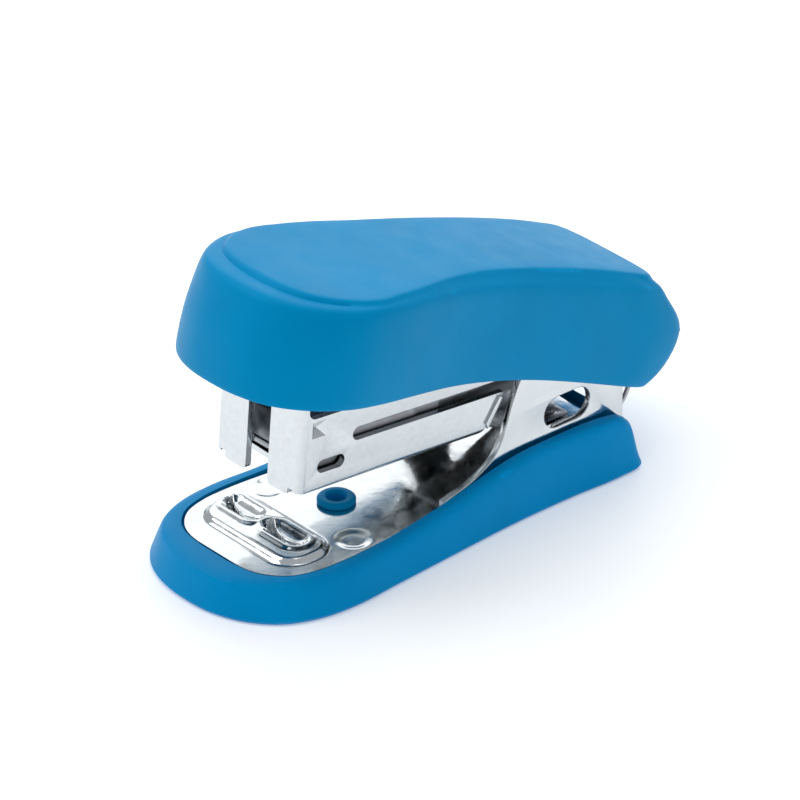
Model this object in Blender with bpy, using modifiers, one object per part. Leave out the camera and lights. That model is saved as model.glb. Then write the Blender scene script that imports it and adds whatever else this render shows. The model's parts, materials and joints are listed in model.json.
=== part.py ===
"""Mini stapler for 24/6 staples: a plastic-covered base, a spring-lifted magazine and a capped handle.

Every length below is in millimetres. The base is laid out from the hollow rivet that holds its plate
(y = 0, front towards -Y), and MIDDLE_Y moves the whole stapler so that it is centred on the origin.
The magazine and the handle are each modelled level, with the hinge pin at their own origin, and are
then tilted by their parent empties to where they stand at rest.
"""

import math

import bmesh
import bpy
from mathutils import Vector

MM = 0.001
MERGE = 0.01 * MM

# Layout of the assembly
MIDDLE_Y = 11.35
PIVOT_Y, PIVOT_Z = 33.3, 13.5
MAGAZINE_TILT, HANDLE_TILT = 4.75, 16.0

# Pins, rivets and fits
PIN_R, PIN_HOLE_R, PIN_HEAD_R = 1.3, 1.38, 1.8
RIVET_R, RIVET_HOLE_R = 0.8, 0.9
FIT = 0.1

# Sheet metal
PLATE_T, PLATE_TOP = 0.8, 4.2
EAR_IN, EAR_OUT = 7.7, 8.6
SHELL_IN, SHELL_OUT = 6.5, 7.3
SHELL_BOTTOM, SHELL_TOP, SHELL_T = -4.63, 4.35, 0.8
RAIL_OUT, RAIL_T = 5.3, 0.8
RAIL_BOTTOM = SHELL_BOTTOM + SHELL_T + FIT
RAIL_TOP = 1.0
FRAME_IN, FRAME_OUT = 5.5, 6.2
WEB_BOTTOM, WEB_TOP = 8.2, 9.0
LEAF_T, LEAF_HALF_WIDTH, LEAF_RIVET_Y = 0.35, 2.4, 31.0
CHANNEL_FRONT = -42.0

# The guide rod and the coil on it
ROD_R, ROD_Z = 0.6, -0.7
ROD_FRONT, ROD_REAR = -41.6, -5.6
COIL_R, COIL_WIRE_R, COIL_TURNS, COIL_STEPS = 1.35, 0.2, 16, 9

# Plastic walls
COVER_WALL, CAP_WALL = 1.6, 1.15
CREASE_Z = 1.8

COLOURS = {
    "blue_cap": ((0.0, 0.27, 0.57), 0.35, 0.0),
    "blue_base": ((0.0, 0.22, 0.48), 0.38, 0.0),
    "nickel": ((0.78, 0.79, 0.78), 0.22, 1.0),
    "steel": ((0.45, 0.45, 0.46), 0.35, 1.0),
}


def collection(name, hidden=False):
    """A new collection in the scene; cutters go in a hidden one."""
    made = bpy.data.collections.new(name)
    made.hide_render = hidden
    bpy.context.scene.collection.children.link(made)
    return made


def clear_scene():
    for obj in list(bpy.data.objects):
        bpy.data.objects.remove(obj, do_unlink=True)


clear_scene()
PARTS = collection("mini_stapler")
CUTTERS = collection("cutters", hidden=True)


def empty(name, y, z, tilt, parent=None):
    """A hinge: an empty on the pin's axis, which tilts what hangs on it front up by tilt degrees."""
    made = bpy.data.objects.new(name, None)
    made.empty_display_size = 5 * MM
    made.location = (0, y * MM, z * MM)
    made.rotation_euler = (math.radians(-tilt), 0, 0)
    made.parent = parent
    PARTS.objects.link(made)
    return made


BASE = empty("base_frame", -MIDDLE_Y, 0, 0)
MAGAZINE = empty("magazine_hinge", PIVOT_Y, PIVOT_Z, MAGAZINE_TILT, BASE)
HANDLE = empty("handle_hinge", PIVOT_Y, PIVOT_Z, HANDLE_TILT, BASE)


def material(name, look):
    colour, roughness, metallic = COLOURS[look]
    made = bpy.data.materials.new(name)
    made.use_nodes = True
    shader = made.node_tree.nodes["Principled BSDF"]
    shader.inputs["Base Color"].default_value = (*colour, 1)
    shader.inputs["Roughness"].default_value = roughness
    shader.inputs["Metallic"].default_value = metallic
    return made


def new_object(name, mesh, parent, look=None):
    """An object for this mesh: a node with its own material if it has a look, and otherwise a cutter."""
    obj = bpy.data.objects.new(name, mesh)
    obj.parent = parent
    (PARTS if look else CUTTERS).objects.link(obj)
    if look:
        mesh.materials.append(material(name + "_finish", look))
    else:
        obj.hide_render = True
        obj.display_type = "WIRE"
    return obj


def finish(bm, name, parent, look):
    bmesh.ops.recalc_face_normals(bm, faces=bm.faces)
    mesh = bpy.data.meshes.new(name)
    bm.to_mesh(mesh)
    bm.free()
    return new_object(name, mesh, parent, look)


def box(name, x, y, z, parent, look=None):
    """A block between two corners, each of x, y and z a (low, high) pair."""
    bm = bmesh.new()
    bmesh.ops.create_cube(bm, size=1)
    for vert in bm.verts:
        spot = [low + (share + 0.5) * (high - low) for share, (low, high) in zip(vert.co, (x, y, z))]
        vert.co = Vector(spot) * MM
    return finish(bm, name, parent, look)


def cylinder(name, radius, x, y, z, parent, look=None, along="Z", sides=24):
    """A round bar along one axis; the value for that axis is its (low, high) pair."""
    bm = bmesh.new()
    low, high = {"X": x, "Y": y, "Z": z}[along]
    bmesh.ops.create_cone(
        bm, cap_ends=True, segments=sides, radius1=radius * MM, radius2=radius * MM, depth=(high - low) * MM
    )
    turn = {"X": Vector((1, 0, 0)), "Y": Vector((0, 1, 0)), "Z": Vector((0, 0, 1))}[along]
    middle = [sum(value) / 2 if isinstance(value, tuple) else value for value in (x, y, z)]
    rotation = Vector((0, 0, 1)).rotation_difference(turn).to_matrix()
    bmesh.ops.rotate(bm, verts=bm.verts, matrix=rotation)
    bmesh.ops.translate(bm, verts=bm.verts, vec=Vector(middle) * MM)
    return finish(bm, name, parent, look)


def slab(name, outline, low, high, along, parent, look=None):
    """A flat outline given thickness: (y, z) points along X, (x, z) along Y, or (x, y) along Z."""
    bm = bmesh.new()
    spots = []
    for a, b in outline:
        spots.append({"X": (low, a, b), "Y": (a, low, b), "Z": (a, b, low)}[along])
    face = bm.faces.new([bm.verts.new(Vector(spot) * MM) for spot in spots])
    grown = bmesh.ops.extrude_face_region(bm, geom=[face])["geom"]
    step = Vector([(high - low) * (axis == along) for axis in "XYZ"])
    bmesh.ops.translate(bm, verts=[g for g in grown if isinstance(g, bmesh.types.BMVert)], vec=step * MM)
    return finish(bm, name, parent, look)


def arc(centre, radius, start, end, steps):
    """Points round a centre, from one angle to another in degrees."""
    found = []
    for i in range(steps + 1):
        angle = math.radians(start + (end - start) * i / steps)
        found.append((centre[0] + radius * math.cos(angle), centre[1] + radius * math.sin(angle)))
    return found


def stadium(centre, length, height, steps=6):
    """A slot's outline, with round ends."""
    a, b = centre
    reach = (length - height) / 2
    right = arc((a + reach, b), height / 2, -90, 90, steps)
    left = arc((a - reach, b), height / 2, 90, 270, steps)
    return right + left


def combine(obj, other, operation):
    """Joins or cuts obj with another object, which goes to the cutters."""
    modifier = obj.modifiers.new(other.name, "BOOLEAN")
    modifier.operation = operation
    modifier.object = other
    for holder in list(other.users_collection):
        holder.objects.unlink(other)
    CUTTERS.objects.link(other)
    other.hide_render = True
    other.display_type = "WIRE"


def cut(obj, *others):
    for other in others:
        combine(obj, other, "DIFFERENCE")


def join(obj, *others):
    for other in others:
        combine(obj, other, "UNION")


def through_points(points, steps):
    """A smooth line through the points, whose bends follow the spacing of the points."""
    spots = [Vector(point) for point in points]
    spans = [(b - a).length for a, b in zip(spots, spots[1:])]
    runs = [(b - a) / span for a, b, span in zip(spots, spots[1:], spans)]
    slopes = [runs[0]]
    for i in range(1, len(runs)):
        slopes.append((runs[i - 1] * spans[i] + runs[i] * spans[i - 1]) / (spans[i - 1] + spans[i]))
    slopes.append(runs[-1])
    line = []
    for i, span in enumerate(spans):
        for k in range(steps):
            t = k / steps
            line.append(
                (2 * t**3 - 3 * t**2 + 1) * spots[i]
                + (t**3 - 2 * t**2 + t) * span * slopes[i]
                + (3 * t**2 - 2 * t**3) * spots[i + 1]
                + (t**3 - t**2) * span * slopes[i + 1]
            )
    line.append(spots[-1])
    return line


def height_along(points):
    """A function of y that follows the (y, z) points smoothly."""
    line = through_points(points, 8)

    def height(y):
        if y <= line[0][0]:
            return line[0][1]
        for a, b in zip(line, line[1:]):
            if y <= b[0]:
                return a[1] + (b[1] - a[1]) * (y - a[0]) / (b[0] - a[0])
        return line[-1][1]

    return height


def half_outline(points, steps=4, inset=0.0):
    """The +X half of a symmetric outline, front tip to rear tip, moved inwards by the inset."""
    (x1, y1), (x2, y2) = points[1], points[-2]
    line = through_points([(-x1, y1), *points, (-x2, y2)], steps)[steps:-steps]
    if not inset:
        return line
    moved = [line[0] + Vector((0, inset))]
    for behind, spot, ahead in zip(line, line[1:], line[2:]):
        along = (ahead - behind).normalized()
        moved.append(Vector((spot.x - along.y * inset, spot.y + along.x * inset)))
    return [*moved, line[-1] - Vector((0, inset))]


def ring(half, height):
    """A whole ring of points from a half outline; height is a number or a function of y."""
    whole = [(spot.x, spot.y) for spot in half] + [(-spot.x, spot.y) for spot in half[-2:0:-1]]
    return [Vector((x, y, height(y) if callable(height) else height)) * MM for x, y in whole]


def shell_of_rings(name, rings, parent, look=None):
    """A body whose skin joins one ring to the next; its first and last rings are closed left to right."""
    bm = bmesh.new()
    rows = [[bm.verts.new(spot) for spot in spots] for spots in rings]
    count = len(rows[0])
    for lower, upper in zip(rows, rows[1:]):
        for i in range(count):
            k = (i + 1) % count
            bm.faces.new((lower[i], lower[k], upper[k], upper[i]))
    for row in (rows[0], rows[-1]):
        half = count // 2
        bm.faces.new((row[0], row[1], row[-1]))
        bm.faces.new((row[half], row[half + 1], row[half - 1]))
        for i in range(1, half - 1):
            bm.faces.new((row[i], row[i + 1], row[-i - 1], row[-i]))
    return finish(bm, name, parent, look)


def wire(name, points, radius, parent, look):
    """A bent wire: a curve through the points, made a mesh with its caps welded."""
    curve = bpy.data.curves.new(name, "CURVE")
    curve.dimensions = "3D"
    curve.bevel_depth = radius * MM
    curve.bevel_resolution = 2
    curve.use_fill_caps = True
    spline = curve.splines.new("POLY")
    spline.points.add(len(points) - 1)
    for point, spot in zip(spline.points, points):
        point.co = (*(Vector(spot) * MM), 1)
    guide = bpy.data.objects.new(name + "_line", curve)
    PARTS.objects.link(guide)
    bpy.context.view_layer.update()
    graph = bpy.context.evaluated_depsgraph_get()
    mesh = bpy.data.meshes.new_from_object(guide.evaluated_get(graph))
    bpy.data.objects.remove(guide, do_unlink=True)
    bm = bmesh.new()
    bm.from_mesh(mesh)
    bmesh.ops.remove_doubles(bm, verts=bm.verts, dist=MERGE)
    bpy.data.meshes.remove(mesh)
    return finish(bm, name, parent, look)


def turned(name, profile, parent, look, spot=(0, 0, 0), steps=32):
    """A turned piece: (radius, height) points from the top of the outer side down, turned about Z."""
    mesh = bpy.data.meshes.new(name)
    ends = [(i, (i + 1) % len(profile)) for i in range(len(profile))]
    mesh.from_pydata([(r * MM, 0, h * MM) for r, h in profile], ends, [])
    obj = new_object(name, mesh, parent, look)
    obj.location = Vector(spot) * MM
    screw = obj.modifiers.new("turned", "SCREW")
    screw.steps = screw.render_steps = steps
    screw.use_merge_vertices = True
    screw.merge_threshold = MERGE
    screw.use_smooth_shade = True
    return obj


# ---------------------------------------------------------------- base

FOOT = [
    (0, -22.4), (4.2, -22.0), (8.2, -20.4), (11.5, -17.4), (13.3, -13.2), (13.8, -8.5), (13.3, -2),
    (12.6, 6.8), (11.9, 16), (11.7, 26), (11.9, 33.5), (11.5, 36.2), (9.4, 37.4), (0, 37.6),
]
POCKET = [
    (0, -17.7), (3.6, -17.6), (6.9, -16.8), (9.3, -14.6), (10.5, -11.0), (10.7, -7.5), (10.4, -2),
    (9.9, 6.0), (9.4, 14), (9.15, 24), (9.1, 33.5), (9.1, 35.7), (8.6, 36.25), (0, 36.3),
]
RIM_HEIGHT = [
    (-23, 4.3), (-8, 4.4), (0, 4.6), (5, 5.1), (9, 5.6), (15, 6.7), (19, 7.3), (24, 7.4),
    (32.5, 7.1), (34.4, 6.7), (35.6, 5.7), (36.6, 4.9), (38, 4.6),
]
POCKET_FLOOR = PLATE_TOP - PLATE_T - 0.1
UNDERSIDE = 1.7


def base_cover():
    """The plastic tray: a flared skirt round a pocket for the plate, hollow underneath."""
    rim = height_along(RIM_HEIGHT)
    pocket = half_outline(POCKET)
    rings = [
        ring(half_outline(FOOT, inset=COVER_WALL + 0.3), UNDERSIDE),
        ring(half_outline(FOOT, inset=COVER_WALL), 0),
        ring(half_outline(FOOT, inset=0.35), 0),
        ring(half_outline(FOOT), 0.45),
        ring(half_outline(FOOT, inset=0.5), CREASE_Z),
        ring(half_outline(FOOT, inset=1.0), lambda y: rim(y) - 1.2),
        ring(half_outline(FOOT, inset=1.35), lambda y: rim(y) - 0.35),
        ring([a.lerp(b, 0.3) for a, b in zip(half_outline(FOOT, inset=1.6), pocket)], rim),
        ring(pocket, rim),
        ring(pocket, POCKET_FLOOR),
    ]
    cover = shell_of_rings("base_cover", rings, BASE, "blue_base")
    cut(cover, cylinder("rivet_way", 1.75, 0, 0, (0, 5), BASE))
    return cover


PLATE = [
    (0, -17.35), (3.5, -17.25), (6.7, -16.5), (9.0, -14.4), (10.15, -11.0), (10.35, -7.5), (10.05, -2),
    (9.5, 5.0), (8.75, 9.5), (8.5, 13.0), (8.5, 33.8), (8.45, 35.0), (7.9, 35.65), (0, 35.65),
]
EAR = (
    [(8.6, PLATE_TOP - 0.4), (8.6, 4.5), (10.2, 4.95), (12.4, 5.5), (14.4, 6.4), (16.1, 7.6), (17.2, 9.1)]
    + [(18.2, 11.6), (19.2, 14.4), (20.2, 16.4), (22.2, 18.0), (26.0, 18.6), (30.0, 18.5)]
    + [(33.0, 18.0), (35.0, 16.6), (35.8, 14.6), (35.8, PLATE_TOP - 0.4)]
)
PAD = {"x": 8.3, "front": -14.3, "rear": -6.7, "rise": 0.75}
WELL_X, WELL_Y = 3.15, -10.9
WELL_LENGTH, WELL_WIDTH, WELL_DEPTH = 5.6, 2.4, 0.55
WINDOW_MIDDLE, WINDOW_LENGTH, WINDOW_HEIGHT = (27.2, 10.0), 7.0, 3.9


def pad_outline(inset, corner):
    x, front, rear = PAD["x"] - inset, PAD["front"] + inset, PAD["rear"] - inset
    return (
        arc((x - corner, front + corner), corner, -90, 0, 5)
        + arc((x - corner, rear - corner), corner, 0, 90, 5)
        + arc((corner - x, rear - corner), corner, 90, 180, 5)
        + arc((corner - x, front + corner), corner, 180, 270, 5)
    )


def base_plate():
    """The pressed steel plate: an anvil pad at the front and an ear folded up on each side at the rear."""
    half = half_outline(PLATE)
    outline = [(spot.x, spot.y) for spot in half] + [(-spot.x, spot.y) for spot in half[-2:0:-1]]
    plate = slab("base_plate", outline, PLATE_TOP - PLATE_T, PLATE_TOP, "Z", BASE, "nickel")
    for side, low, high in (("right", EAR_IN, EAR_OUT), ("left", -EAR_OUT, -EAR_IN)):
        ear = slab(f"ear_{side}", EAR, low, high, "X", BASE)
        join(plate, ear)
    top = PLATE_TOP + PAD["rise"]
    bm = bmesh.new()
    lower = [bm.verts.new(Vector((*spot, PLATE_TOP - 0.3)) * MM) for spot in pad_outline(0, 2.6)]
    upper = [bm.verts.new(Vector((*spot, top)) * MM) for spot in pad_outline(0.55, 2.2)]
    count = len(lower)
    for i in range(count):
        k = (i + 1) % count
        bm.faces.new((lower[i], lower[k], upper[k], upper[i]))
    bm.faces.new(lower)
    bm.faces.new(upper)
    join(plate, finish(bm, "anvil_pad", BASE, None))
    for side in (-1, 1):
        well = stadium((side * WELL_X, WELL_Y), WELL_LENGTH, WELL_WIDTH)
        cut(plate, slab(f"well_{side}", well, top - WELL_DEPTH, top + 1, "Z", BASE))
        window = stadium(WINDOW_MIDDLE, WINDOW_LENGTH, WINDOW_HEIGHT)
        cut(plate, slab(f"window_{side}", window, side * EAR_OUT - 2, side * EAR_OUT + 2, "X", BASE))
    cut(plate, cylinder("pin_way_base", PIN_HOLE_R, (-12, 12), PIVOT_Y, PIVOT_Z, BASE, along="X"))
    cut(plate, cylinder("rivet_hole", 1.65, 0, 0, (2, 6), BASE))
    cut(plate, cylinder("leaf_rivet_hole", RIVET_HOLE_R, 0, LEAF_RIVET_Y, (2, 6), BASE))
    return plate


def base_rivet():
    """The hollow plastic rivet that clips the plate to the tray."""
    under, head = PLATE_TOP + 0.05, PLATE_TOP + 0.8
    profile = [(1.95, head), (2.2, head - 0.15), (2.25, under), (1.45, under)]
    profile += [(1.4, 1.5), (1.05, 1.3), (1.05, head)]
    return turned("base_rivet", profile, BASE, "blue_base")


def pivot_pin():
    """The hinge pin, with a peened head at each end."""
    pin = cylinder("pivot_pin", PIN_R, (-8.9, 8.9), PIVOT_Y, PIVOT_Z, BASE, "steel", along="X")
    for side, low, high in (("right", 8.68, 8.9), ("left", -8.9, -8.68)):
        join(pin, cylinder(f"head_{side}", PIN_HEAD_R, (low, high), PIVOT_Y, PIVOT_Z, BASE, along="X"))
    return pin


def magazine_spring():
    """The leaf that lifts the magazine: riveted to the plate, rising forwards to the magazine's floor."""
    low = PLATE_TOP + FIT
    line = [(33.0, low), (29.5, low), (27.0, low + 0.35), (23.5, 5.9), (20.0, 7.5), (16.5, 8.95)]
    line += [(15.0, 9.25), (13.5, 9.05)]
    upper = [(y, z + LEAF_T) for y, z in reversed(line)]
    leaf = slab("magazine_spring", line + upper, -LEAF_HALF_WIDTH, LEAF_HALF_WIDTH, "X", BASE, "steel")
    cut(leaf, cylinder("leaf_hole", RIVET_HOLE_R, 0, LEAF_RIVET_Y, (3, 6), BASE))
    return leaf


def leaf_rivet():
    """The rivet through the leaf and the plate."""
    head, tail = PLATE_TOP + FIT + LEAF_T + 0.05, POCKET_FLOOR + 0.05
    rivet = cylinder("leaf_rivet", RIVET_R, 0, LEAF_RIVET_Y, (tail, head + 0.2), BASE, "steel")
    join(rivet, cylinder("leaf_rivet_head", 2 * RIVET_R, 0, LEAF_RIVET_Y, (head, head + 0.5), BASE))
    return rivet


# ---------------------------------------------------------------- magazine, level, hinge pin at the origin

FRONT = -44.7
FLANGE_GAP, FLANGE_TOP, FLANGE_FOOT = 1.9, 8.9, -5.25
SLOT_LOW, SLOT_HIGH, SLOT_FRONT = 0.0, 1.7, -37.2
PORT_MIDDLE, PORT_LENGTH, PORT_HEIGHT = (-40.2, -1.84), 4.0, 1.65
RAIL_RIVETS = {"rail_rivet_front": -35.0, "rail_rivet_rear": -22.5}


def shell_side_outline():
    slot_mid = (SLOT_LOW + SLOT_HIGH) / 2
    slot_r = (SLOT_HIGH - SLOT_LOW) / 2
    return (
        [(FRONT, SHELL_BOTTOM), (-17.8, SHELL_BOTTOM)]
        + [(-17.0, -4.2), (-16.6, -3.3), (-14.7, SLOT_LOW)]
        + arc((SLOT_FRONT + slot_r, slot_mid), slot_r, 270, 90, 6)
        + [(-8.0, SLOT_HIGH), (-5.5, 0.6), (-3.6, -1.6)]
        + arc((0, 0), 3.4, 220, 340, 6)
        + [(3.4, 1.5), (2.6, 3.3), (1.0, SHELL_TOP)]
        + [(FRONT, SHELL_TOP)]
    )


def magazine_shell():
    """The outer channel: side walls, a floor, two folded front flanges and the slots."""
    outline = shell_side_outline()
    shell = slab("magazine_shell", outline, SHELL_IN, SHELL_OUT, "X", MAGAZINE, "nickel")
    join(shell, slab("shell_left", outline, -SHELL_OUT, -SHELL_IN, "X", MAGAZINE))
    floor = (CHANNEL_FRONT + 0.4, -18.0)
    join(shell, box("shell_floor", (-7.0, 7.0), floor, (SHELL_BOTTOM, SHELL_BOTTOM + SHELL_T), MAGAZINE))
    edge = SHELL_OUT - FIT
    face = [
        (FLANGE_GAP, FLANGE_FOOT + 0.5), (FLANGE_GAP + 0.9, FLANGE_FOOT), (5.3, FLANGE_FOOT),
        (5.6, SHELL_BOTTOM), (edge - 0.6, SHELL_BOTTOM), (edge, SHELL_BOTTOM + 0.6),
        (edge, FLANGE_TOP - 0.6), (edge - 0.6, FLANGE_TOP),
        (FLANGE_GAP, FLANGE_TOP),
    ]
    for side in (-1, 1):
        outline = [(side * x, z) for x, z in face]
        join(shell, slab(f"flange_{side}", outline, FRONT - 0.02, FRONT + SHELL_T, "Y", MAGAZINE))
    cut(shell, slab("port", stadium(PORT_MIDDLE, PORT_LENGTH, PORT_HEIGHT), -9, 9, "X", MAGAZINE))
    cut(shell, cylinder("pin_way_shell", PIN_HOLE_R, (-9, 9), 0, 0, MAGAZINE, along="X"))
    for y in RAIL_RIVETS.values():
        cut(shell, cylinder(f"shell_rivet_hole{y}", RIVET_HOLE_R, 0, y, (-6, -2), MAGAZINE, sides=16))
    return shell


def staple_rail():
    """The inner channel that the staples straddle; its tail runs back under the hinge pin."""
    wall = [
        (CHANNEL_FRONT + 0.5, RAIL_BOTTOM), (-1.2, RAIL_BOTTOM), (-0.5, RAIL_BOTTOM + 0.7), (-0.5, -1.75),
        (-4.0, -1.75), (-5.0, -0.9), (-6.5, RAIL_TOP), (CHANNEL_FRONT, RAIL_TOP),
        (CHANNEL_FRONT, RAIL_BOTTOM + 0.5),
    ]
    rail = slab("staple_rail", wall, RAIL_OUT - RAIL_T, RAIL_OUT, "X", MAGAZINE, "steel")
    join(rail, slab("rail_left", wall, -RAIL_OUT, RAIL_T - RAIL_OUT, "X", MAGAZINE))
    floor = (RAIL_BOTTOM, RAIL_BOTTOM + RAIL_T)
    join(rail, box("rail_floor", (-5.0, 5.0), (CHANNEL_FRONT + 0.6, -1.3), floor, MAGAZINE))
    join(rail, box("rod_stop", (-1.5, 1.5), (ROD_REAR - 0.5, ROD_REAR + 0.3), (RAIL_BOTTOM, 0.2), MAGAZINE))
    for y in RAIL_RIVETS.values():
        cut(rail, cylinder(f"rail_rivet_hole{y}", RIVET_HOLE_R, 0, y, (-6, -2), MAGAZINE, sides=16))
    way = (ROD_REAR - 2, ROD_REAR + 2)
    cut(rail, cylinder("rod_hole", ROD_R + 0.05, 0, way, ROD_Z, MAGAZINE, along="Y", sides=16))
    return rail


def rail_rivet(name, y):
    """One of the rivets that hold the rail to the shell's floor."""
    inside, outside = RAIL_BOTTOM + RAIL_T, SHELL_BOTTOM
    rivet = cylinder(name, RIVET_R, 0, y, (outside - 0.2, inside + 0.3), MAGAZINE, "steel", sides=16)
    join(rivet, cylinder(name + "_head", 1.5, 0, y, (inside + 0.05, inside + 0.4), MAGAZINE, sides=16))
    join(rivet, cylinder(name + "_tail", 1.3, 0, y, (outside - 0.35, outside - 0.05), MAGAZINE, sides=16))
    return rivet


def spring_seat():
    """The washer between the spring and the rod's stop."""
    middle = ROD_REAR - 0.75
    seat = cylinder("spring_seat", 1.9, 0, (middle - 0.2, middle + 0.2), ROD_Z, MAGAZINE, "steel", "Y", 24)
    way = (middle - 2, middle + 2)
    cut(seat, cylinder("seat_hole", ROD_R + 0.08, 0, way, ROD_Z, MAGAZINE, along="Y", sides=16))
    return seat


def guide_rod():
    """The rod that the pusher's spring is threaded on, headed behind its stop."""
    rod = cylinder("guide_rod", ROD_R, 0, (ROD_FRONT, ROD_REAR + 0.7), ROD_Z, MAGAZINE, "steel", "Y", 16)
    head = (ROD_REAR + 0.4, ROD_REAR + 1.0)
    join(rod, cylinder("rod_head", 1.1, 0, head, ROD_Z, MAGAZINE, along="Y", sides=16))
    return rod


PUSHER_REAR = -23.6
PUSHER_T = 0.6
HEAD_T = 0.8


def pusher():
    """The follower: wings outside the rail, a bridge over it and a head inside it that rides on the rod."""
    low, bridge = RAIL_BOTTOM + 0.3, RAIL_TOP + 0.2
    front, top = CHANNEL_FRONT + FIT, bridge + PUSHER_T
    wing = [(front, low), (PUSHER_REAR - 0.5, low), (PUSHER_REAR, low + 0.5)]
    wing += [(PUSHER_REAR, top), (front, top)]
    inner, outer = RAIL_OUT + 0.25, SHELL_IN - 0.3
    piece = slab("pusher", wing, inner, outer, "X", MAGAZINE, "steel")
    join(piece, slab("wing_left", wing, -outer, -inner, "X", MAGAZINE))
    join(piece, box("bridge", (-6.0, 6.0), (front, PUSHER_REAR - 4), (bridge, top), MAGAZINE))
    head_foot = RAIL_BOTTOM + RAIL_T + 0.6
    join(piece, box("head", (-4.2, 4.2), (front, front + HEAD_T), (head_foot, bridge + 0.4), MAGAZINE))
    way = (front - 2, front + 3)
    cut(piece, cylinder("head_hole", ROD_R + 0.25, 0, way, ROD_Z, MAGAZINE, along="Y", sides=16))
    return piece


def pusher_spring():
    """The coil on the guide rod, between the pusher's head and the spring seat."""
    start = CHANNEL_FRONT + HEAD_T + COIL_WIRE_R + 2 * FIT
    end = ROD_REAR - 1.05 - COIL_WIRE_R
    count = COIL_TURNS * COIL_STEPS
    points = []
    for i in range(count + 1):
        angle = 2 * math.pi * i / COIL_STEPS
        y = start + (end - start) * i / count
        points.append((COIL_R * math.cos(angle), y, ROD_Z + COIL_R * math.sin(angle)))
    return wire("pusher_spring", points, COIL_WIRE_R, MAGAZINE, "steel")


# ---------------------------------------------------------------- handle, level, hinge pin at the origin

CAP_RIM = [
    (0, -53.4), (4.5, -52.9), (8.4, -51.1), (11.2, -48.2), (12.9, -43.9), (12.85, -38.5), (11.9, -32.5),
    (10.9, -26.5), (10.4, -20.5), (10.25, -12.5), (10.25, -1.0), (10.2, 4.0), (9.6, 6.4), (8.0, 7.3),
    (0, 7.5),
]
CAP_MIDDLE = CAP_RIM[:10] + [(10.25, 0.0), (10.2, 7.6), (9.4, 10.4), (7.5, 11.2), (0, 11.4)]
CAP_SHOULDER = [
    (0, -52.3), (4.5, -51.8), (8.1, -50.2), (10.7, -47.4), (12.4, -43.4), (12.45, -38.5), (11.5, -32.5),
    (10.45, -26.5), (9.95, -20.5), (9.75, -12.5), (9.7, -1.5), (9.65, 4.0), (9.1, 6.2), (7.6, 6.9), (0, 7.1),
]
CAP_PLATEAU = [
    (0, -49.4), (4.0, -49.0), (7.6, -47.5), (10.1, -44.5), (11.2, -41.1), (10.8, -37.2), (10.0, -32.8),
    (9.1, -29.1), (8.35, -24.0), (8.1, -18.5), (8.1, -8.0), (8.15, 1.5), (7.9, 4.4), (6.9, 5.0), (0, 5.2),
]
RIM_LINE = [
    (-56, -1.9), (-52, -1.7), (-48, -1.2), (-44, -0.8), (-40, -0.55), (-32, -0.2), (-18, -0.2), (-12, -0.6),
    (-6, -1.3), (2, -2.4), (5.5, -2.8), (8, -2.6),
]
SHOULDER_LINE = [
    (-56, 9.6), (-52, 10.0), (-47, 10.4), (-42, 10.8), (-38, 11.1), (-30, 11.5), (-23, 11.6), (-17, 11.4),
    (-10, 10.9), (-4, 10.4), (2, 9.8), (7.5, 8.9),
]
PLATEAU_LINE = [
    (-56, 10.5), (-50, 10.9), (-45, 11.3), (-41, 11.6), (-36, 12.1), (-29, 12.6), (-23, 12.8), (-18, 12.7),
    (-12, 12.4), (-3, 11.6), (2, 10.9), (6, 10.2),
]
CEILING_DROP = 1.5


def cap():
    """The plastic cap: deep walls, a shoulder, and a raised flat top that narrows to a waist."""
    rim, shoulder, plateau = (height_along(points) for points in (RIM_LINE, SHOULDER_LINE, PLATEAU_LINE))
    low, middle, high = half_outline(CAP_RIM), half_outline(CAP_MIDDLE), half_outline(CAP_SHOULDER)

    def between(first, second, share):
        return [a.lerp(b, share) for a, b in zip(first, second)]

    rings = [
        ring(half_outline(CAP_PLATEAU, inset=0.2), lambda y: plateau(y) - CEILING_DROP),
        ring(half_outline(CAP_SHOULDER, inset=CAP_WALL + 0.7), lambda y: shoulder(y) - 1.3),
        ring(half_outline(CAP_SHOULDER, inset=CAP_WALL + 0.1), lambda y: shoulder(y) - 2.6),
        ring(half_outline(CAP_MIDDLE, inset=CAP_WALL), 3.0),
        ring(half_outline(CAP_RIM, inset=CAP_WALL), rim),
        ring(half_outline(CAP_RIM, inset=0.25), rim),
        ring(low, lambda y: rim(y) + 0.3),
        ring(between(low, middle, 0.6), lambda y: rim(y) + 1.9),
        ring(middle, 3.4),
        ring(between(middle, high, 0.3), 5.6),
        ring(between(middle, high, 0.75), lambda y: shoulder(y) - 1.6),
        ring(half_outline(CAP_SHOULDER, inset=0.15), lambda y: shoulder(y) - 0.5),
        ring(half_outline(CAP_SHOULDER, inset=0.7), shoulder),
        ring(half_outline(CAP_PLATEAU, inset=-0.35), lambda y: plateau(y) - 0.65),
        ring(half_outline(CAP_PLATEAU), lambda y: plateau(y) - 0.15),
        ring(half_outline(CAP_PLATEAU, inset=0.5), plateau),
    ]
    return shell_of_rings("cap", rings, HANDLE, "blue_cap")


FRAME_FRONT, FRAME_REAR = -42.55, 4.2
RIVET_X, RIVET_Y = 2.0, -37.5


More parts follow.
